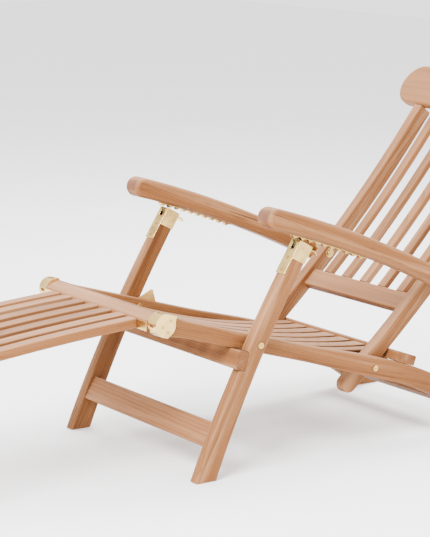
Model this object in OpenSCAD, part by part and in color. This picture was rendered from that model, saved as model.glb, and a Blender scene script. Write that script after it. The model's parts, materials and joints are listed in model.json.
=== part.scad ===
// Reclining deck chair in oiled teak with brass fittings and a leg rest.
// +X is the sitter's left, +Y runs to the head end, +Z is up, the floor is Z = 0. Lengths are in mm.
// Side views are drawn with Y = 0 at the front feet; teak() and brass() then centre the chair.

/* [Seat frame] */
// Distance between the inner faces of the front legs
leg_gap = 496; // [480:2:540]
// Thickness of the legs, side rails and back stiles
timber = 28; // [26:1:30]
// Depth of a side rail between the knee and the seat
rail_front = 36; // [34:1:38]
// Depth of a side rail from the back pivot to the foot
rail_rear = 46; // [44:1:48]
// Radius of the bend that carries the rails down to the floor
rail_bend = 813; // [800:1:830]

/* [Front legs] */
// Width of a front leg at the floor, measured level
leg_foot = 51; // [46:1:54]
// Reach of a leg's top from the leg's pivot
leg_reach = 236; // [230:1:236]

/* [Backrest] */
// Slope of the back at its pivot, right down
back_angle = 40.2; // [40:0.1:41]
// Radius of the curve of the back
back_curve = 3370; // [3300:10:3500]
// Length of the back above its pivot
back_length = 820; // [800:5:830]
// Depth of a back stile
stile_depth = 38; // [36:1:38]
// Half the length of the head board
head_half = 300; // [270:5:300]

/* [Slats] */
// Width of a seat slat
slat_w = 40; // [38:1:44]
// Width of a leg-rest slat
rest_slat_w = 32; // [30:1:40]
// Thickness of a seat or leg-rest slat
slat_t = 13; // [11:1:14]

/* [Arms] */
// Width of an arm
arm_w = 50; // [46:1:52]
// Height of an arm at its front end
arm_h = 46; // [42:1:46]

/* [Leg rest] */
// Half the width over the side rails of the leg rest
rest_half = 176; // [170:1:176]
// Length of the leg rest in front of the knee board
rest_length = 470; // [440:5:480]

/* [Hidden] */
$fn = 48;

// Planes across the chair, all measured from its middle
leg_in = leg_gap / 2;
leg_out = leg_in + timber;
rail_out = leg_in - 4;
rail_in = rail_out - timber;
stile_out = rail_in - 4;
stile_in = stile_out - timber;
arm_in = rail_out - 4;
arm_mid = arm_in + 22;

// Pivots in the side view as [Y, Z]
knee = [-62, 343];
leg_pivot = [166, 281];
back_pivot = [503, 179];
foot_pivot = [-490, 302];
bolt_r = 4;
running = 0.06;
gap = 0.4;
bed = 0.12; // pieces laid on a curved face sit this much off it

// Middle of the chair's length, from the front feet
middle = 247.1;

// ---- helpers -------------------------------------------------------------

module teak() translate([0, -middle, 0]) color("peru") children();
module brass() translate([0, -middle, 0]) color("gold") children();

// A side-view outline (Y, Z) extruded across the chair from x0 to x1
module across(x0, x1) translate([x0, 0, 0]) rotate([90, 0, 90])
    linear_extrude(x1 - x0) children();

// A round bar along X
module xbar(x0, x1, at, r) translate([x0, at[0], at[1]]) rotate([0, 90, 0])
    cylinder(r = r, h = x1 - x0);

// A ring along X, such as a washer
module xring(x0, x1, at, r, bore) difference() {
    xbar(x0, x1, at, r);
    xbar(x0 - 1, x1 + 1, at, bore);
}

// A slotted screw or bolt head whose outer face looks along +X
module slotted_head(x, at, r, h) difference() {
    xbar(x, x + h, at, r);
    translate([x + h * 2 / 3, at[0] - r, at[1] - r / 8]) cube([h, 2 * r, r / 4]);
}

// The left piece as drawn, or its mirror image on the right
module sided(left) mirror([left ? 0 : 1, 0, 0]) children();
module both() for (left = [true, false]) sided(left) children();

// Smooth step from 0 to 1 between a and b
function ease(v, a, b) = let (t = min(max((v - a) / (b - a), 0), 1)) t * t * (3 - 2 * t);
function polar(r, a) = r * [cos(a), sin(a)];
function flip(list) = [for (i = [len(list) - 1:-1:0]) list[i]];

// ---- side rails: knee to rear foot in one piece --------------------------

rail_slope = 16.43;
rail_head = [-54, 344.9];
rail_straight = 619;
rail_run = 1060;
head_r = 22.5;

function rail_angle(s) = rail_slope + max(s - rail_straight, 0) / rail_bend * 180 / PI;
function rail_mid(s) = let (b = rail_angle(s), t = min(s, rail_straight))
    rail_head + t * [cos(rail_slope), -sin(rail_slope)]
    + (s > rail_straight ? rail_bend * [sin(b) - sin(rail_slope), cos(b) - cos(rail_slope)] : [0, 0]);
function rail_half(s) = rail_front / 2 + (rail_rear - rail_front) / 2 * ease(s, 370, 560)
    + (head_r - rail_front / 2) * (1 - ease(s, 0, 60));
function rail_edge(s, h) = rail_mid(s) + h * [sin(rail_angle(s)), cos(rail_angle(s))];
rail_stations = concat([for (s = [0:10:60]) s], [for (s = [380:30:620]) s],
                       [for (s = [640:20:rail_run]) s]);

module rail_outline() intersection() {
    polygon(concat([for (s = rail_stations) rail_edge(s, rail_half(s))],
                   flip([for (s = rail_stations) rail_edge(s, -rail_half(s))]),
                   [for (i = [1:17]) rail_head + polar(head_r, 270 - rail_slope - 10 * i)]));
    translate([-200, 0]) square([1300, 600]);
}

module side_rail(left) teak() sided(left) difference() {
    across(rail_in, rail_out) rail_outline();
    for (at = [knee, leg_pivot, back_pivot]) xbar(rail_in - 1, rail_out + 1, at, bolt_r);
}

// ---- seat ----------------------------------------------------------------

// Top of the dished seat at depth y, and the underside of its slats
seat_front = 12;
seat_back = 560;
function seat_top(y) = 346 - 0.44 * y + 0.00034 * y * y;
function seat_under(y) = seat_top(y) - slat_t;
seat_pitch = 56.5;
seat_edge = 182;

module seat_strip(y0, y1, down, t, steps) {
    ys = [for (i = [0:steps]) y0 + i * (y1 - y0) / steps];
    polygon(concat([for (y = flip(ys)) [y, seat_top(y) - down]],
                   [for (y = ys) [y, seat_top(y) - down - t]]));
}
// The two outer slats are narrower and leave a slot beside the rail for the back
module seat_slat(i) teak() {
    x = (i - 4) * seat_pitch;
    across(max(x - slat_w / 2, -seat_edge), min(x + slat_w / 2, seat_edge))
        seat_strip(seat_front, seat_back, 0, slat_t, 16);
}
module seat_front_board() teak() across(-rail_in, rail_in) seat_strip(-43, seat_front, 0, 20, 3);
// Cross bearer under the slats, inside the depth of the rails
module seat_bearer() teak() across(-rail_in, rail_in)
    seat_strip(340, 380, slat_t + bed, 14, 1);
// Board laid over both rails: the back leans on it when right down
cross_board_s = 634.5;
cross_board_w = 56;
cross_board_t = 23;
module cross_board_at() translate(rail_edge(cross_board_s, rail_rear / 2 + 0.6))
    rotate(-rail_angle(cross_board_s + cross_board_w / 2)) children();
module rear_cross_board() teak() across(-rail_out, rail_out)
    cross_board_at() square([cross_board_w, cross_board_t]);
// Ledger under the rear ends of the slats and the front of the cross board
module seat_ledger() teak() across(-seat_edge + 1, seat_edge - 1) difference() {
    seat_strip(538, 590, slat_t, 24, 4);
    cross_board_at() translate([-5, 0]) square([cross_board_w + 10, cross_board_t]);
}
stretcher_s = 839;
module rear_stretcher() teak() across(-rail_in, rail_in)
    translate(rail_edge(stretcher_s, -10)) rotate(-rail_angle(stretcher_s)) square([44, 20], center = true);

// ---- brass at the knee ---------------------------------------------------

cap_t = 2.5;
module cap_face(grow) translate(rail_head) rotate(-rail_slope) {
    circle(head_r + grow);
    polygon([[0, -head_r - grow], [12, -head_r - grow], [22, -head_r + 10], [22, head_r + grow],
             [0, head_r + grow]]);
}
// Cheeks each side of the rail end joined by a slotted band round the front
module hinge_cap(left) brass() sided(left) difference() {
    union() {
        across(rail_in - cap_t, rail_in) intersection() {
            cap_face(cap_t);
            translate([-100, 300]) square([56, 100]);
        }
        across(rail_out, rail_out + cap_t) cap_face(cap_t);
        across(rail_in, rail_out) difference() {
            cap_face(cap_t);
            cap_face(0);
            translate(rail_head + [-6, -60]) square([60, 120]);
        }
    }
    xbar(rail_in - 10, rail_out + 10, knee, bolt_r);
    translate([rail_in + 6, rail_head[0] - 30, rail_head[1] - 3]) cube([timber - 12, 16, 6]);
}
module knee_pins() brass() both() xbar(stile_out - 12, rail_out + cap_t, knee, bolt_r);
module hinge_cap_screws() brass() both() for (z = [-12, 12])
    slotted_head(rail_out + cap_t, rail_head + [9 + z * 0.3, z - 2.6], 3.2, 0.9);

// Upright gusset on the rail behind each front leg
module stop_brackets() brass() both() translate([0, each rail_edge(228, rail_front / 2 + bed)])
    rotate([-rail_slope, 0, 0]) {
        translate([rail_in + 4, 0, 0]) cube([22, 48, 2]);
        across(rail_in + 4, rail_in + 6) polygon([[0, 1.9], [48, 1.9], [33, 27], [29, 27]]);
    }

// ---- pivot bolts ---------------------------------------------------------

module front_pivot_bolts() brass() both() {
    xbar(rail_in - 3, leg_out + gap, leg_pivot, bolt_r);
    slotted_head(leg_out + gap, leg_pivot, 7, 3);
    xbar(rail_in - 7, rail_in, leg_pivot, 7);
}
module back_pivot_bolts() brass() both() {
    xbar(stile_in - gap, rail_out, back_pivot, bolt_r);
    slotted_head(rail_out, back_pivot, 7, 3);
    xbar(stile_in - 6, stile_in - gap, back_pivot, 7);
}
module pivot_washers() brass() both() {
    xring(rail_out, leg_in - gap, leg_pivot, 13, bolt_r);
    xring(stile_out + gap, rail_in, back_pivot, 12, bolt_r);
}

// ---- front legs ----------------------------------------------------------

leg_top = 505;
function leg_front(z) = 2 + 0.42 * z + 0.00024 * z * z;
function leg_rear(z) = leg_front(z) + leg_foot - 0.018 * z;
leg_levels = [for (i = [0:20]) leg_top * i / 20];
catch_at = leg_pivot + polar(228, 61.5);

module leg_outline(reach) intersection() {
    polygon(concat([for (z = leg_levels) [leg_rear(z), z]], flip([for (z = leg_levels) [leg_front(z), z]])));
    union() {
        translate([-50, 0]) square([400, leg_pivot[1]]);
        translate(leg_pivot) circle(reach, $fn = 120);
    }
}
// Crossbar outline, square to the rails that rest on it
bar_low = [101, 237];
bar_h = 41;
bar_t = 26;
module bar_outline() translate(bar_low) rotate(-rail_slope) square([bar_t, bar_h]);

module front_leg(left) teak() sided(left) difference() {
    across(leg_in, leg_out) leg_outline(leg_reach);
    across(leg_in - 1, leg_out + 1) bar_outline();
    xbar(leg_in - 1, leg_out + 1, leg_pivot, bolt_r + running);
    xbar(leg_in - 1, leg_out + 1, catch_at, 3);
    across(arm_mid - 8, arm_mid + 8) translate(catch_at) circle(14);
    across(leg_in - 1, leg_out + 1) tab_outline();
}
module upper_crossbar() teak() across(-leg_out, leg_out) bar_outline();
module lower_stretcher() teak() across(-leg_in, leg_in)
    translate([38, 72.5]) rotate(-30.9) square([21, 56]);

// ---- brass brackets on the leg tops --------------------------------------

cheek_t = 1.6;
strap_t = 2;
module cheek_outline() intersection() {
    leg_outline(leg_reach + 4);
    polygon([[200, 486], [300, 434], [340, 434], [340, 540], [200, 540]]);
}
module strap_outline() intersection() {
    translate(leg_pivot) circle(leg_reach + 4, $fn = 120);
    polygon(concat([for (i = [17:20]) [leg_front(leg_levels[i]), leg_levels[i]]],
                   [for (i = [20:-1:17]) [leg_front(leg_levels[i]) - strap_t, leg_levels[i]]]));
}
// Curled finger tab behind the leg top
tab_at = [296.5, 457];
module tab_outline() intersection() {
    difference() {
        translate(tab_at) circle(16.5);
        translate(tab_at) circle(14.5);
    }
    polygon([tab_at, tab_at + polar(40, 106), tab_at + polar(40, 60), tab_at + polar(40, 14)]);
}
module catch_bracket(left) brass() sided(left) difference() {
    union() {
        for (x = [leg_in - cheek_t, leg_out]) across(x, x + cheek_t) cheek_outline();
        across(leg_in - cheek_t, leg_out + cheek_t) strap_outline();
        across(leg_in - cheek_t, leg_out + cheek_t) tab_outline();
    }
    xbar(leg_in - 5, leg_out + 5, catch_at, 3);
    translate([arm_mid - 6, leg_front(478) - 9, 478]) cube([12, 20, 40]);
}
module catch_pins() brass() both() xbar(leg_in - cheek_t, leg_out + cheek_t, catch_at, 3);
module bracket_screws() brass() both() for (z = [437, 462])
    translate([arm_mid, leg_front(z) - strap_t, z]) rotate([90 - 32, 0, 0]) difference() {
        translate([0, 0, bed]) cylinder(r = 3.4, h = 1.3);
        translate([-0.6, -4, 0.6]) cube([1.2, 8, 2]);
    }

// ---- backrest ------------------------------------------------------------

// Point s along the back from its pivot, off in front of the stile's middle
function back_turn(s) = back_angle + max(s, 0) / back_curve * 180 / PI;
function back_at(s, off) = back_pivot + off * [-sin(back_turn(s)), cos(back_turn(s))] + (s < 0
    ? polar(s, back_angle)
    : back_curve * [sin(back_turn(s)) - sin(back_angle), cos(back_angle) - cos(back_turn(s))]);
arm_s = 262;
arm_pivot = back_at(arm_s, 0);
stile_tail = -60;
head_w = 111;
head_s = back_length - head_w;
head_t = 26;

module back_strip(s0, s1, off0, off1, steps) {
    ss = [for (i = [0:steps]) s0 + i * (s1 - s0) / steps];
    polygon(concat([for (s = ss) back_at(s, off0)], flip([for (s = ss) back_at(s, off1)])));
}
module back_stile(left) teak() sided(left) difference() {
    across(stile_in, stile_out) {
        back_strip(0, head_s, -stile_depth / 2, stile_depth / 2, 12);
        back_strip(stile_tail, 0, -stile_depth / 2, stile_depth / 2, 1);
        translate(back_at(stile_tail, 0)) circle(stile_depth / 2);
    }
    xbar(stile_in - 1, stile_out + 1, back_pivot, bolt_r + running);
    xbar(stile_in - 1, stile_out + 1, arm_pivot, bolt_r);
}
// Bottom rail of the back, set behind the stiles' front
back_rail_s = 160;
module back_bottom_rail() teak() across(-stile_in, stile_in)
    back_strip(back_rail_s, back_rail_s + 48, -15, 5, 2);
back_pitch = 69;
back_slat_w = 26;
module back_slat(i) teak() {
    x = (i - 3) * back_pitch;
    across(x - back_slat_w / 2, x + back_slat_w / 2) back_strip(back_rail_s + 48, head_s, -10, 5, 10);
}
// Head board with fully rounded ends that overhang the stiles
module head_rail() teak() {
    p = back_at(head_s, stile_depth / 2 + 3 - head_t);
    translate([0, p[0], p[1]]) rotate([back_turn(head_s), 0, 0]) linear_extrude(head_t) {
        translate([head_w / 2 - head_half, 0]) square([2 * head_half - head_w, head_w]);
        for (x = [-1, 1]) translate([x * (head_half - head_w / 2), head_w / 2]) circle(head_w / 2, $fn = 64);
    }
}
module arm_pivot_bolts() brass() both() {
    xbar(stile_in - 2, arm_mid, arm_pivot, bolt_r);
    xring(stile_in - 1.5, stile_in, arm_pivot, 11, bolt_r);
    mirror([1, 0, 0]) slotted_head(1.5 - stile_in, arm_pivot, 7.5, 3);
}
module arm_spacers() brass() both() xring(stile_out, arm_in - gap, arm_pivot, 11, bolt_r);

// ---- arms ----------------------------------------------------------------

arm_from = 201;
arm_to = 705;
function arm_z(y) = let (d = y - 200) 551 - 0.29 * d - 0.00022 * d * d;
function arm_lean(y) = atan(-0.29 - 0.00044 * (y - 200));
function arm_half(y) = arm_h / 2 - 3 * (y - arm_from) / (arm_to - arm_from);
function arm_edge(y, h) = [y, arm_z(y)] + h * [-sin(arm_lean(y)), cos(arm_lean(y))];

module armrest(left) teak() sided(left) difference() {
    across(arm_in, arm_in + arm_w) {
        ys = [for (i = [0:14]) arm_from + i * (arm_to - arm_from) / 14];
        polygon(concat([for (y = ys) arm_edge(y, -arm_half(y))],
                       flip([for (y = ys) arm_edge(y, arm_half(y))])));
        translate(arm_edge(arm_from, 0)) circle(arm_half(arm_from));
        translate(arm_edge(arm_to, 0)) circle(arm_half(arm_to));
    }
    xbar(arm_in - 1, arm_mid + gap, arm_pivot, bolt_r + running);
}
// Toothed brass rack under each arm
rack_from = 262;
rack_to = 462;
teeth = 10;
module rack(left) brass() sided(left) across(arm_mid - 6, arm_mid + 6) {
    pitch = (rack_to - rack_from) / teeth;
    ys = [for (i = [0:teeth]) rack_from + i * pitch];
    polygon(concat([for (y = ys) arm_edge(y, -arm_half(y) - 2)],
                   flip([for (y = ys) arm_edge(y, -arm_half(y) - bed)])));
    for (i = [0:teeth - 1]) let (y = ys[i], h = -arm_half(y) - 1.9)
        polygon([arm_edge(y + 2, h), arm_edge(y + 6, h - 5), arm_edge(y + 8, h - 5), arm_edge(y + 15, h)]);
}

// ---- leg rest ------------------------------------------------------------

rest_h = 22;
rest_from = -80;
rest_to = rest_from - rest_length;
foot_rail_w = 40;
function rest_top(y) = let (d = -94 - y) 352 - 0.062 * d - 0.000087 * d * d;
module rest_strip(y0, y1, t, steps) {
    ys = [for (i = [0:steps]) y0 + i * (y1 - y0) / steps];
    polygon(concat([for (y = ys) [y, rest_top(y)]], flip([for (y = ys) [y, rest_top(y) - t]])));
}
module leg_rest_rail(left) teak() sided(left) difference() {
    across(rest_half - 30, rest_half) {
        rest_strip(rest_from, rest_to + rest_h / 2, rest_h, 12);
        translate([rest_to + rest_h / 2, rest_top(rest_to + rest_h / 2) - rest_h / 2]) circle(rest_h / 2);
    }
    xbar(rest_half - 31, rest_half + 1, foot_pivot, bolt_r);
}
module leg_rest_slat(i) teak() across((i - 3) * 56 - rest_slat_w / 2, (i - 3) * 56 + rest_slat_w / 2)
    rest_strip(rest_from, rest_to + foot_rail_w, slat_t, 12);
module foot_rail() teak() across(30 - rest_half, rest_half - 30)
    rest_strip(rest_to + foot_rail_w, rest_to, rest_h, 2);
// Rounded board at the knee that turns on the pins between the seat rails
module knee_board() teak() difference() {
    across(-rail_in + cap_t + gap, rail_in - cap_t - gap) {
        translate(knee) circle(17);
        polygon([[-80, 329], [-62, 326], [-45, 343], [-45, 363.5], [-46.5, 365.2], [-52, 365],
                 [-62, 362.8], [-72, 358.5], [-80, 353]]);
    }
    both() xbar(stile_out - 13, rail_in, knee, bolt_r + running);
}

// Plain brass leaf on the board's front, between a leg-rest rail and the hinge cap
module knee_leaves() brass() both()
    translate([rest_half + 2, rest_from - 1.6, 331]) cube([rail_in - cap_t - rest_half - 3, 1.6, 20]);

// ---- fold-out legs of the leg rest ---------------------------------------

foot_in = rest_half + 1.5;
foot_w = 22;
foot_splay = 12;
module foot_leg(left) teak() sided(left) difference() {
    across(foot_in, foot_in + foot_w) intersection() {
        translate(foot_pivot) rotate(-foot_splay) {
            circle(15);
            translate([-15, -340]) square([30, 340]);
        }
        translate([-700, 0]) square([400, 400]);
    }
    xbar(foot_in - 1, foot_in + foot_w + 1, foot_pivot, bolt_r + running);
}
module foot_leg_stretcher() teak() across(-foot_in, foot_in)
    translate(foot_pivot) rotate(-foot_splay) translate([-10, -252]) square([20, 44]);
module foot_leg_bolts() brass() both() {
    xbar(rest_half - 30, foot_in + foot_w + gap, foot_pivot, bolt_r);
    slotted_head(foot_in + foot_w + gap, foot_pivot, 8, 3);
}

// ---- assembly ------------------------------------------------------------

side_rail(true);  // side_rail_left
side_rail(false);  // side_rail_right
seat_front_board();
rear_cross_board();
rear_stretcher();
seat_bearer();
seat_ledger();
seat_slat(1);  // seat_slat_1
seat_slat(2);  // seat_slat_2
seat_slat(3);  // seat_slat_3
seat_slat(4);  // seat_slat_4
seat_slat(5);  // seat_slat_5
seat_slat(6);  // seat_slat_6
seat_slat(7);  // seat_slat_7
hinge_cap(true);  // hinge_cap_left
hinge_cap(false);  // hinge_cap_right
knee_pins();
hinge_cap_screws();
stop_brackets();
front_pivot_bolts();
back_pivot_bolts();
pivot_washers();
front_leg(true);  // front_leg_left
front_leg(false);  // front_leg_right
lower_stretcher();
upper_crossbar();
catch_bracket(true);  // catch_bracket_left
catch_bracket(false);  // catch_bracket_right
catch_pins();
bracket_screws();
back_stile(true);  // back_stile_left
back_stile(false);  // back_stile_right
head_rail();
back_bottom_rail();
back_slat(1);  // back_slat_1
back_slat(2);  // back_slat_2
back_slat(3);  // back_slat_3
back_slat(4);  // back_slat_4
back_slat(5);  // back_slat_5
arm_pivot_bolts();
arm_spacers();
armrest(true);  // armrest_left
armrest(false);  // armrest_right
rack(true);  // rack_left
rack(false);  // rack_right
knee_board();
knee_leaves();
leg_rest_rail(true);  // leg_rest_rail_left
leg_rest_rail(false);  // leg_rest_rail_right
foot_rail();
leg_rest_slat(1);  // leg_rest_slat_1
leg_rest_slat(2);  // leg_rest_slat_2
leg_rest_slat(3);  // leg_rest_slat_3
leg_rest_slat(4);  // leg_rest_slat_4
leg_rest_slat(5);  // leg_rest_slat_5
foot_leg_bolts();
foot_leg(true);  // foot_leg_left
foot_leg(false);  // foot_leg_right
foot_leg_stretcher();
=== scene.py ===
import json
import math

import bmesh
import bpy
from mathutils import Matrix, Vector


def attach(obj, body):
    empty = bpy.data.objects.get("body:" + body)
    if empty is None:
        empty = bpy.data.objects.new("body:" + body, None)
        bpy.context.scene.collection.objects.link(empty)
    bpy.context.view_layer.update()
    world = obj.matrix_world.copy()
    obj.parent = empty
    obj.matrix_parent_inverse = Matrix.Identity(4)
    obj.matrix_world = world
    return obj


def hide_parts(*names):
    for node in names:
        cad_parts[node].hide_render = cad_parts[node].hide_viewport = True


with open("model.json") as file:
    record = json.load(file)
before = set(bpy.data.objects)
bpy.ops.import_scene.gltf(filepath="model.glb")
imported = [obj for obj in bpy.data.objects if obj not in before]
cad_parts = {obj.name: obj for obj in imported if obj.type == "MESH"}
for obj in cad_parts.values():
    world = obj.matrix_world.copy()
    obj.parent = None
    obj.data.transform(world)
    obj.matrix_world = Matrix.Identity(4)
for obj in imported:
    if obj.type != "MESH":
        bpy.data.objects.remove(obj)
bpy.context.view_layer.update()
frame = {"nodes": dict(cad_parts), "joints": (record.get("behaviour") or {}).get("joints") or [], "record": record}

# ---- Side rails ------------------------------------------------------------------------------
# Each side of the seat is one sawn teak rail, from the knee hinge to the bent rear foot.
# The edges are eased with a router and the timber is sanded and lightly oiled.


class Wire:
    """A shader output that Python's operators work on. Each operation adds its Math node."""

    def __init__(self, finish, socket):
        self.finish, self.socket = finish, socket

    def operate(self, operation, first, second=0.0):
        return self.finish.node("ShaderNodeMath", {"operation": operation}, {0: first, 1: second})

    def __add__(self, other):
        return self.operate("ADD", self, other)

    def __radd__(self, other):
        return self.operate("ADD", other, self)

    def __sub__(self, other):
        return self.operate("SUBTRACT", self, other)

    def __rsub__(self, other):
        return self.operate("SUBTRACT", other, self)

    def __mul__(self, other):
        return self.operate("MULTIPLY", self, other)

    def __rmul__(self, other):
        return self.operate("MULTIPLY", other, self)

    def __pow__(self, other):
        return self.operate("POWER", self, other)


class Finish:
    """A material in the making, round one Principled BSDF."""

    def __init__(self, name):
        self.material = bpy.data.materials.new(name)
        self.material.use_nodes = True
        self.tree = self.material.node_tree
        self.shader = self.tree.nodes["Principled BSDF"]

    def put(self, socket, value):
        if isinstance(value, Wire):
            self.tree.links.new(value.socket, socket)
        else:
            socket.default_value = value

    def node(self, kind, settings=None, inputs=None, output=0):
        """Adds a node. Its settings are set first, then the values or links of its inputs."""
        made = self.tree.nodes.new(kind)
        for name, value in (settings or {}).items():
            if name == "stops":
                ramp = made.color_ramp
                while len(ramp.elements) < len(value):
                    ramp.elements.new(0.5)
                for element, (place, colour) in zip(ramp.elements, value):
                    element.position = place
                    element.color = (*colour, 1.0)
            else:
                setattr(made, name, value)
        for name, value in (inputs or {}).items():
            self.put(made.inputs[name], value)
        return Wire(self, made.outputs[output])

    def blend(self, share, first, second, how="MIX"):
        """A colour between first and second."""
        settings = {"data_type": "RGBA", "blend_type": how}
        return self.node("ShaderNodeMix", settings, {0: share, 6: first, 7: second}, output=2)

    def step(self, value, low, high):
        """0 below low and 1 above high, with a smooth rise between."""
        inputs = {"Value": value, "From Min": low, "From Max": high}
        return self.node("ShaderNodeMapRange", {"interpolation_type": "SMOOTHSTEP"}, inputs)

    def surface(self, **inputs):
        """Sets the shader's sockets. Base_Color stands for Base Color."""
        for name, value in inputs.items():
            self.put(self.shader.inputs[name.replace("_", " ")], value)
        return self.material


GRAIN_ALONG = Vector((0.0, 1.0, 0.0))
GRAIN_ACROSS = Vector((1.0, 0.0, 0.0))
RING_GAP = 0.0042
HEARTWOOD = (0.212, 0.083, 0.0265, 1.0)
LATEWOOD = (0.078, 0.0225, 0.0062, 1.0)
PALE_STREAK = (0.335, 0.168, 0.078, 1.0)
# Paler, greyer colour painted on upward faces as a painted sheen of the pale sky
TOP_SHEEN = (0.285, 0.160, 0.094, 1.0)
END_GRAIN = (0.110, 0.054, 0.037, 1.0)
# Lighter colour for the eased edges: partly edge wear, partly a painted highlight
WORN_AND_HIGHLIGHT_EDGE = (0.310, 0.150, 0.070, 1.0)
# Near-black brown, painted shade for the gaps between slats
PAINTED_GAP_SHADE = (0.032, 0.011, 0.004, 1.0)


def teak(name, grain, turn, seed, tone=1.0, thirst=0.15, side_shade=0.0):
    """Oiled teak. The grain runs along X, or along Y turned by turn radians about X.
    Thirst is how dark the end grain goes. The last argument sets how strongly painted shade darkens the faces that
    look along X, which are the slat sides in the gaps."""
    t = Finish(name)
    place = t.node("ShaderNodeTexCoord", output="Object")
    facing = t.node("ShaderNodeTexCoord", output="Normal")
    spin = (-turn, 0.0, 0.0) if grain == GRAIN_ALONG else (0.0, 0.0, math.radians(90))
    shift = Vector((math.sin(seed * 12.9), math.sin(seed * 4.1), math.sin(seed * 7.7))) * 0.9
    along_y = t.node("ShaderNodeMapping", {"vector_type": "POINT"},
                     {"Vector": place, "Location": shift, "Rotation": spin})
    face_y = t.node("ShaderNodeMapping", {"vector_type": "POINT"}, {"Vector": facing, "Rotation": spin})

    def stretched(across, along):
        return t.node("ShaderNodeMapping", {"vector_type": "POINT"},
                      {"Vector": along_y, "Scale": (across, along, across)})

    # Growth rings round a heart that lies outside the board, a degree or two off its length
    heart = t.node("ShaderNodeMapping", {"vector_type": "POINT"}, {
        "Vector": along_y,
        "Location": (0.05 * math.cos(seed * 2.3) - shift.x, 0.0,
                     0.05 * math.sin(seed) + 0.26 - shift.z),
        "Rotation": (0.022 * math.sin(seed * 3.1), 0.0, 0.03 * math.cos(seed * 5.3)),
    })
    rings = t.node("ShaderNodeTexWave", {
        "wave_type": "RINGS", "rings_direction": "Y", "wave_profile": "SAW",
    }, {
        "Vector": heart, "Scale": 0.314 / RING_GAP, "Distortion": 5.0,
        "Detail": 3.0, "Detail Scale": 0.035, "Detail Roughness": 0.55,
    }, output="Fac")
    late = t.step(rings, 0.45, 0.98)
    bands = t.node("ShaderNodeTexNoise", None, {
        "Vector": stretched(38.0, 1.6), "Scale": 1.0, "Detail": 4.0, "Roughness": 0.55}, output="Fac")
    streaks = t.node("ShaderNodeTexNoise", None, {
        "Vector": stretched(230.0, 5.0), "Scale": 1.0, "Detail": 3.0, "Roughness": 0.6}, output="Fac")
    pores = t.node("ShaderNodeTexNoise", None, {
        "Vector": stretched(1500.0, 42.0), "Scale": 1.0, "Detail": 2.0, "Roughness": 0.5}, output="Fac")
    patches = t.node("ShaderNodeTexNoise", None, {
        "Vector": stretched(7.0, 2.2), "Scale": 1.0, "Detail": 2.0}, output="Fac")
    pore = t.step(pores, 0.60, 0.74)
    dark_line = t.step(streaks, 0.57, 0.72)

    colour = t.blend(late * 0.50, HEARTWOOD, LATEWOOD)
    colour = t.blend(t.step(bands, 0.50, 0.68) * 0.72, colour, PALE_STREAK)
    colour = t.blend(t.step(bands, 0.46, 0.30) * 0.55, colour, LATEWOOD)
    colour = t.blend(dark_line * 0.80, colour, LATEWOOD)
    colour = t.blend(pore * 0.50, colour, LATEWOOD)

    # Upward faces get a paler, greyer painted sheen, and end grain drinks the oil and stays darker
    up = t.node("ShaderNodeSeparateXYZ", None, {0: facing}, output="Z")
    sideways = t.node("ShaderNodeSeparateXYZ", None, {0: facing}, output="X")
    end = t.node("ShaderNodeSeparateXYZ", None, {0: face_y}, output="Y")
    is_end = t.step(end * end, 0.55, 0.85)
    colour = t.blend(t.step(up, 0.25, 0.95) * (0.25 + patches * 0.5), colour, TOP_SHEEN)
    colour = t.blend(is_end * thirst, colour, END_GRAIN)
    # Painted shade: faces that look along X, the slat sides in the gaps, darken toward a near-black brown
    colour = t.blend(t.step(sideways * sideways, 0.35, 0.9) * side_shade, colour, PAINTED_GAP_SHADE)
    # Eased edges turn lighter: partly edge wear, partly a painted highlight on the rounded edges
    worn = t.node("ShaderNodeAttribute", {"attribute_name": "worn"}, output="Fac")
    colour = t.blend(worn * (0.05 + streaks * 0.35), colour, WORN_AND_HIGHLIGHT_EDGE)
    shade = t.node("ShaderNodeHueSaturation", None, {
        "Color": colour, "Value": (patches * 0.60 + 0.70) * tone})

    relief = pore * -0.8 + late * 0.45 + streaks * 0.5
    bump = t.node("ShaderNodeBump", None, {"Height": relief, "Strength": 0.22, "Distance": 0.0006})
    rough = 0.50 + late * 0.06 + pore * 0.12 + is_end * 0.14 - worn * 0.08
    return t.surface(Base_Color=shade, Roughness=rough, Normal=bump, Specular_IOR_Level=0.10)


PIVOTS = [Vector(joint["pos_m"]) for joint in frame["joints"]]
BORE_CLEAR = 0.0065  # edges nearer than this to a pivot belong to its bore and stay sharp
NODE_BODY = {n: b for b, ns in frame["record"]["behaviour"]["bodies"].items() for n in ns}
WELD = 0.00001


def near_bore(edge):
    middle = (edge.verts[0].co + edge.verts[1].co) / 2
    return any(math.hypot(middle.y - p.y, middle.z - p.z) < BORE_CLEAR for p in PIVOTS)


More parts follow.
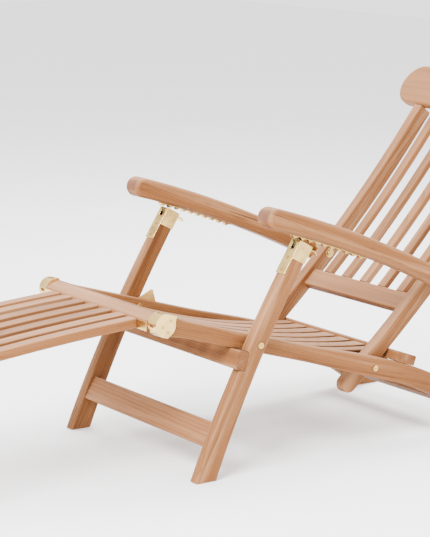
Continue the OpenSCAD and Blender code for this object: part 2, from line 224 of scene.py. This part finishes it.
def finished(node, ease, material, segments=3, sharp=28.0, butt=None):
    """A copy of a sawn or cast piece with its sharp edges eased, which stands for that piece.
    Ends that face along butt meet another piece and stay square."""
    shape = bmesh.new()
    shape.from_mesh(frame["nodes"][node].data)
    bmesh.ops.remove_doubles(shape, verts=shape.verts, dist=WELD)
    bmesh.ops.dissolve_limit(shape, angle_limit=math.radians(0.6), verts=shape.verts, edges=shape.edges)
    worn = shape.loops.layers.float.new("worn")
    corners = [e for e in shape.edges if len(e.link_faces) == 2 and e.is_convex
               and e.calc_face_angle() > math.radians(sharp) and not near_bore(e)]
    if butt:
        corners = [e for e in corners if all(abs(f.normal.dot(butt)) < 0.85 for f in e.link_faces)]
    eased = bmesh.ops.bevel(shape, geom=corners, offset=ease, offset_type="OFFSET", segments=segments,
                            profile=0.5, affect="EDGES", material=-1, clamp_overlap=False)
    for face in eased["faces"]:
        for loop in face.loops:
            loop[worn] = 1.0
    for face in shape.faces:
        face.smooth = True
    for edge in shape.edges:
        if len(edge.link_faces) == 2 and edge.calc_face_angle() > math.radians(40):
            edge.smooth = False
    mesh = bpy.data.meshes.new(node + "_finished")
    shape.to_mesh(mesh)
    shape.free()
    mesh.materials.append(material)
    piece = bpy.data.objects.new(node + "_finished", mesh)
    bpy.context.scene.collection.objects.link(piece)
    normals = piece.modifiers.new("flat faces", "WEIGHTED_NORMAL")
    normals.keep_sharp = True
    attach(piece, NODE_BODY[node])
    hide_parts(node)
    return piece


RAIL_SLOPE = math.radians(-16.4)
RAIL_EASE = 0.0032

for seed, side in ((1, "left"), (2, "right")):
    wood = teak("teak_rail_" + side, GRAIN_ALONG, RAIL_SLOPE, seed)
    finished("side_rail_" + side, RAIL_EASE, wood)

# ---- Seat ------------------------------------------------------------------------------------
# Seven dished slats run from the front board to the cross board. They are planed thin, with
# rounded edges, and rest on a hidden bearer and a ledger.

SLAT_EASE = 0.0032
BOARD_EASE = 0.004
SEAT_SLOPE = math.radians(-14.5)
GAP_SHADE = 0.9
SLAT_TONES = (0.97, 1.05, 0.93, 1.02, 0.98, 1.06, 0.95)

for index, tone in enumerate(SLAT_TONES):
    slat = "seat_slat_%d" % (index + 1)
    wood = teak("teak_" + slat, GRAIN_ALONG, SEAT_SLOPE, 10 + index, tone, side_shade=GAP_SHADE)
    finished(slat, SLAT_EASE, wood, butt=GRAIN_ALONG)

for seed, node, tone in ((21, "seat_front_board", 1.03), (22, "rear_cross_board", 0.98),
                         (23, "rear_stretcher", 0.97), (24, "seat_bearer", 0.92),
                         (25, "seat_ledger", 0.92)):
    wood = teak("teak_" + node, GRAIN_ACROSS, 0.0, seed, tone)
    finished(node, BOARD_EASE, wood, butt=GRAIN_ACROSS)

# ---- Front legs ------------------------------------------------------------------------------
# Two slightly curved legs cross the rails, joined by a low stretcher and an upper crossbar
# that is notched flush into their front edges and carries the rails.

LEG_LEAN = math.radians(62.0)
LEG_EASE = 0.0034

# The far leg, on the right, gets a darker tone as painted shade
for seed, side, tone in ((31, "left", 1.0), (32, "right", 0.88)):
    wood = teak("teak_leg_" + side, GRAIN_ALONG, LEG_LEAN, seed, tone)
    finished("front_leg_" + side, LEG_EASE, wood)

for seed, node, tone in ((33, "lower_stretcher", 1.04), (34, "upper_crossbar", 0.95)):
    wood = teak("teak_" + node, GRAIN_ACROSS, 0.0, seed, tone)
    finished(node, LEG_EASE, wood, butt=GRAIN_ACROSS)

# ---- Backrest --------------------------------------------------------------------------------
# Two curved stiles carry a bottom rail, five narrow slats and a wide head board whose
# round ends overhang. The head board is worked to a generous round all over.

BACK_LEAN = math.radians(46.0)
BACK_LINE = Vector((0.0, math.cos(BACK_LEAN), math.sin(BACK_LEAN)))
STILE_EASE = 0.0038
BACK_SLAT_EASE = 0.0034
HEAD_EASE = 0.0075

for seed, side in ((41, "left"), (42, "right")):
    wood = teak("teak_stile_" + side, GRAIN_ALONG, BACK_LEAN, seed)
    finished("back_stile_" + side, STILE_EASE, wood)

for index, tone in enumerate((1.04, 0.96, 1.06, 0.98, 1.03)):
    wood = teak("teak_back_slat_%d" % (index + 1), GRAIN_ALONG, BACK_LEAN, 45 + index, tone)
    finished("back_slat_%d" % (index + 1), BACK_SLAT_EASE, wood, butt=BACK_LINE)

bottom_wood = teak("teak_back_bottom_rail", GRAIN_ACROSS, 0.0, 52, 1.05)
finished("back_bottom_rail", STILE_EASE, bottom_wood, butt=GRAIN_ACROSS)
finished("head_rail", HEAD_EASE, teak("teak_head_rail", GRAIN_ACROSS, 0.0, 53, 1.06), segments=5)

# ---- Arms ------------------------------------------------------------------------------------
# Thick bent arms, sawn to a curve and rounded over on all their long edges, so that they
# are kind to the hand. They turn on the back and rest on the front legs.

ARM_LEAN = math.radians(-21.0)
ARM_EASE = 0.0085

for seed, side in ((61, "left"), (62, "right")):
    wood = teak("teak_arm_" + side, GRAIN_ALONG, ARM_LEAN, seed, 1.02, thirst=0.7)
    finished("armrest_" + side, ARM_EASE, wood, segments=5)

# ---- Leg rest --------------------------------------------------------------------------------
# A slatted frame behind a rounded board, which turns on two pins at the knee. Its own pair
# of legs folds up under it on two bolts.

REST_LEAN = math.radians(4.0)
FOOT_LEAN = math.radians(78.0)
REST_GAP_SHADE = 0.35

for seed, side in ((71, "left"), (72, "right")):
    wood = teak("teak_rest_rail_" + side, GRAIN_ALONG, REST_LEAN, seed, 1.0)
    finished("leg_rest_rail_" + side, SLAT_EASE, wood)
    foot_wood = teak("teak_foot_leg_" + side, GRAIN_ALONG, FOOT_LEAN, seed + 2, 0.98)
    finished("foot_leg_" + side, SLAT_EASE, foot_wood)

for index, tone in enumerate((1.05, 0.96, 1.03, 0.94, 1.04)):
    slat = "leg_rest_slat_%d" % (index + 1)
    wood = teak("teak_" + slat, GRAIN_ALONG, REST_LEAN, 75 + index, tone, side_shade=REST_GAP_SHADE)
    finished(slat, SLAT_EASE, wood, butt=GRAIN_ALONG)

for seed, node, tone in ((81, "knee_board", 1.02), (82, "foot_rail", 1.0),
                         (83, "foot_leg_stretcher", 0.97)):
    wood = teak("teak_" + node, GRAIN_ACROSS, 0.0, seed, tone)
    finished(node, SLAT_EASE, wood, butt=GRAIN_ACROSS)

# ---- Brass fittings --------------------------------------------------------------------------
# Hinge caps, leg-top brackets, racks and bolts are polished brass, pressed or turned. They carry faint scratches
# and a little warm tarnish away from the rubbed edges, and the tarnish is darkened further as a painted dark
# reflection.

BRIGHT_BRASS = (0.80, 0.55, 0.19, 1.0)
TARNISH_AND_DARK_REFLECTION = (0.36, 0.210, 0.055, 1.0)
BRASS_EASE = 0.0005
CAP_EASE = 0.0004
HEAD_ROUND = 0.0004
SCREW_ROUND = 0.00014


def brass(name, darkening, film):
    """Polished brass under an even film and clouds of darker colour, partly tarnish and partly painted dark
    reflection, with fine scratches.
    """
    b = Finish(name)
    place = b.node("ShaderNodeTexCoord", output="Object")
    clouds = b.node("ShaderNodeTexNoise", None, {
        "Vector": place, "Scale": 32.0, "Detail": 4.0, "Roughness": 0.5}, output="Fac")
    swirl = b.node("ShaderNodeMapping", None, {"Vector": place, "Scale": (400.0, 2400.0, 900.0)})
    scratches = b.node("ShaderNodeTexNoise", None, {
        "Vector": swirl, "Scale": 1.0, "Detail": 2.0}, output="Fac")
    worn = b.node("ShaderNodeAttribute", {"attribute_name": "worn"}, output="Fac")
    dull = (b.step(clouds, 0.34, 0.76) * (1.0 - film) + film) * (1.0 - worn * 0.85)
    scratch = b.step(scratches, 0.58, 0.72)
    bump = b.node("ShaderNodeBump", None, {
        "Height": clouds * 0.3 + scratch * 0.15, "Strength": 0.08, "Distance": 0.0005})
    return b.surface(Base_Color=b.blend(dull * darkening, BRIGHT_BRASS, TARNISH_AND_DARK_REFLECTION), Metallic=1.0,
                     Roughness=0.17 + dull * 0.16 + scratch * 0.08, Normal=bump)


sheet_brass = brass("brass_sheet", 0.40, 0.0)
mottled_brass = brass("brass_mottled", 0.85, 0.1)
turned_brass = brass("brass_turned", 0.85, 0.65)
for side in ("left", "right"):
    finished("hinge_cap_" + side, CAP_EASE, sheet_brass, segments=2, sharp=60.0)
    finished("catch_bracket_" + side, BRASS_EASE, mottled_brass, sharp=35.0)
    finished("rack_" + side, BRASS_EASE, turned_brass, sharp=35.0)
for node in ("stop_brackets", "knee_leaves"):
    finished(node, BRASS_EASE, sheet_brass, sharp=35.0)
for node in ("knee_pins", "front_pivot_bolts", "back_pivot_bolts", "pivot_washers", "catch_pins",
             "arm_pivot_bolts", "arm_spacers", "foot_leg_bolts"):
    finished(node, HEAD_ROUND, turned_brass, segments=3, sharp=50.0)
for node in ("hinge_cap_screws", "bracket_screws"):
    finished(node, SCREW_ROUND, turned_brass, segments=2, sharp=50.0)

# ---- Floor and light -------------------------------------------------------------------------
# A plain pale floor, a broad soft light from the front left, a weaker one from behind on the
# right and an even pale sky.

FLOOR_HALF_X = 14.0
FLOOR_HALF_Y = 9.0

ground = bmesh.new()
front_ends = [ground.verts.new((x, -FLOOR_HALF_Y, 0.0)) for x in (-FLOOR_HALF_X, FLOOR_HALF_X)]
front_edge = ground.edges.new(front_ends)
swept = bmesh.ops.extrude_edge_only(ground, edges=[front_edge])
back_ends = [v for v in swept["geom"] if isinstance(v, bmesh.types.BMVert)]
bmesh.ops.translate(ground, verts=back_ends, vec=(0.0, 2 * FLOOR_HALF_Y, 0.0))
floor_mesh = bpy.data.meshes.new("floor")
ground.to_mesh(floor_mesh)
ground.free()
floor = bpy.data.objects.new("floor", floor_mesh)
bpy.context.scene.collection.objects.link(floor)
white = Finish("white_floor")
white_place = white.node("ShaderNodeTexCoord", output="Object")
mottle = white.node("ShaderNodeTexNoise", None, {"Vector": white_place, "Scale": 1.5}, output="Fac")
floor_mesh.materials.append(white.surface(
    Base_Color=white.blend(mottle, (0.90, 0.90, 0.90, 1.0), (0.93, 0.93, 0.93, 1.0)), Roughness=0.9))

sky = bpy.data.worlds.new("pale_sky")
sky.use_nodes = True
sky.node_tree.nodes["Background"].inputs["Color"].default_value = (1.0, 1.0, 1.0, 1.0)
sky.node_tree.nodes["Background"].inputs["Strength"].default_value = 2.2
bpy.context.scene.world = sky


def soft_light(name, place, target, size, power):
    lamp = bpy.data.lights.new(name, "AREA")
    lamp.size = size
    lamp.energy = power
    holder = bpy.data.objects.new(name, lamp)
    holder.location = place
    holder.rotation_euler = (Vector(target) - Vector(place)).to_track_quat("-Z", "Y").to_euler()
    bpy.context.scene.collection.objects.link(holder)


soft_light("key_light", (1.6, -2.8, 3.2), (0.0, 0.0, 0.3), 2.0, 560.0)
soft_light("top_light", (-1.2, 1.4, 3.6), (0.0, 0.1, 0.3), 2.6, 330.0)

# ---- Camera ----------------------------------------------------------------------------------
# A long lens, half a metre above the head board, from the sitter's front left.

camera_data = bpy.data.cameras.new("camera")
camera_data.sensor_fit = "HORIZONTAL"
camera_data.sensor_width = 36.0
camera_data.lens = 174.3
camera = bpy.data.objects.new("camera", camera_data)
camera.location = (3.804, -2.5751, 1.282)
camera.rotation_euler = (math.radians(79.07), 0.0, math.radians(56.03))
bpy.context.scene.collection.objects.link(camera)
bpy.context.scene.camera = camera
